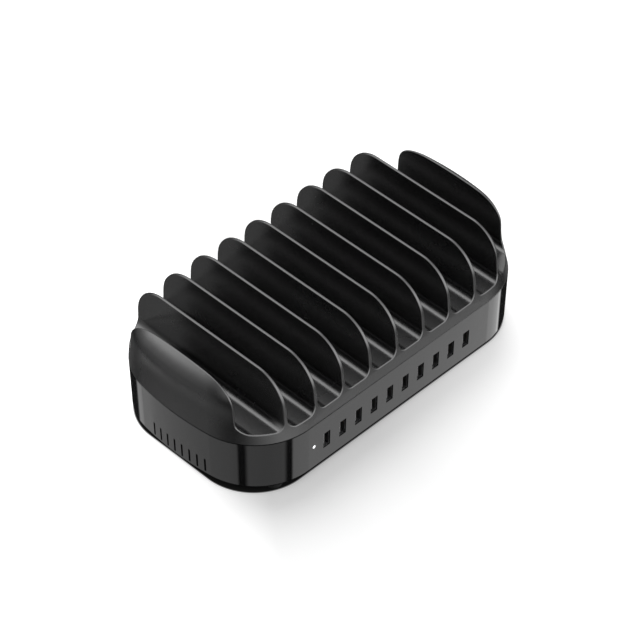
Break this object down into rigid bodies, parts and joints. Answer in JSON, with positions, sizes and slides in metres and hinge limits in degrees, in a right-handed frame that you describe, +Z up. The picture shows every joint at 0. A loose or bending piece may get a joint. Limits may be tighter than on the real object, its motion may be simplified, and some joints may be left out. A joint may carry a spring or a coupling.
{
  "type": "charging station organizer",
  "caption": "Desk charging station: a gloss housing with a row of upright USB ports under a satin tray whose thin dividers hold phones and tablets on edge.",
  "frame": {"origin": "on the table, under the middle of the station, at the level of the feet", "axes": "+X along the row of slots, -Y is the side with the ports, +Z up"},
  "size_m": [0.2782, 0.1514, 0.0925],
  "materials": {
    "tray_plastic": "satin moulded",
    "housing_plastic": "high gloss",
    "cover_plastic": "fine texture",
    "foot_rubber": "matte",
    "screw_steel": "zinc plated",
    "port_steel": "tinned sheet",
    "port_plastic": "moulded",
    "contact_brass": "gold flash",
    "light_plastic": "clear, lit from behind",
    "board_laminate": "solder mask",
    "sheet_film": "thin film",
    "inlet_plastic": "moulded",
    "switch_plastic": "moulded",
    "rocker_plastic": "polished",
    "lead_insulation": "extruded",
    "link_copper": "tinned copper",
    "ferrite": "sintered",
    "winding_tape": "taped",
    "can_sleeve": "shrink sleeve on a can",
    "sink_aluminium": "extruded",
    "package_epoxy": "moulded",
    "capacitor_case": "potted case",
    "fuse_metal": "plated caps"
  },
  "bodies": {
    "station": {"upper_tray": "tray_plastic", "base_housing": "housing_plastic", "bottom_cover": "cover_plastic", "rubber_foot_front_left": "foot_rubber", "rubber_foot_front_right": "foot_rubber", "rubber_foot_rear_left": "foot_rubber", "rubber_foot_rear_right": "foot_rubber", "housing_screws": "screw_steel", "board_screws": "screw_steel", "insulation_sheet": "sheet_film", "usb_board": "board_laminate", "power_board": "board_laminate", "usb_contacts": "contact_brass", "light_pipe": "light_plastic", "status_led": "light_plastic", "inlet_body": "inlet_plastic", "inlet_pins": "contact_brass", "switch_body": "switch_plastic", "mains_leads": "lead_insulation", "output_links": "link_copper", "transformer_core": "ferrite", "transformer_winding": "winding_tape", "bulk_capacitor": "can_sleeve", "primary_heatsink": "sink_aluminium", "secondary_heatsink": "sink_aluminium", "switching_transistor": "package_epoxy", "output_rectifier": "package_epoxy", "interference_choke": "ferrite", "line_capacitor": "capacitor_case", "fuse": "fuse_metal", "bridge_rectifier": "package_epoxy", "output_capacitor_1": "can_sleeve", "output_capacitor_2": "can_sleeve", "output_capacitor_3": "can_sleeve", "output_capacitor_4": "can_sleeve", "usb_shell_1": "port_steel", "usb_insert_1": "port_plastic", "usb_shell_2": "port_steel", "usb_insert_2": "port_plastic", "usb_shell_3": "port_steel", "usb_insert_3": "port_plastic", "usb_shell_4": "port_steel", "usb_insert_4": "port_plastic", "usb_shell_5": "port_steel", "usb_insert_5": "port_plastic", "usb_shell_6": "port_steel", "usb_insert_6": "port_plastic", "usb_shell_7": "port_steel", "usb_insert_7": "port_plastic", "usb_shell_8": "port_steel", "usb_insert_8": "port_plastic", "usb_shell_9": "port_steel", "usb_insert_9": "port_plastic", "usb_shell_10": "port_steel", "usb_insert_10": "port_plastic"},
    "rocker": {"power_rocker": "rocker_plastic"}
  },
  "joints": [
    {"name": "power_rocker_tilt", "type": "hinge", "parent": "station", "child": "rocker", "pos_m": [0.067, 0.0697, 0.026], "axis": [1, 0, 0], "range_deg": [0, 20]}
  ]
}
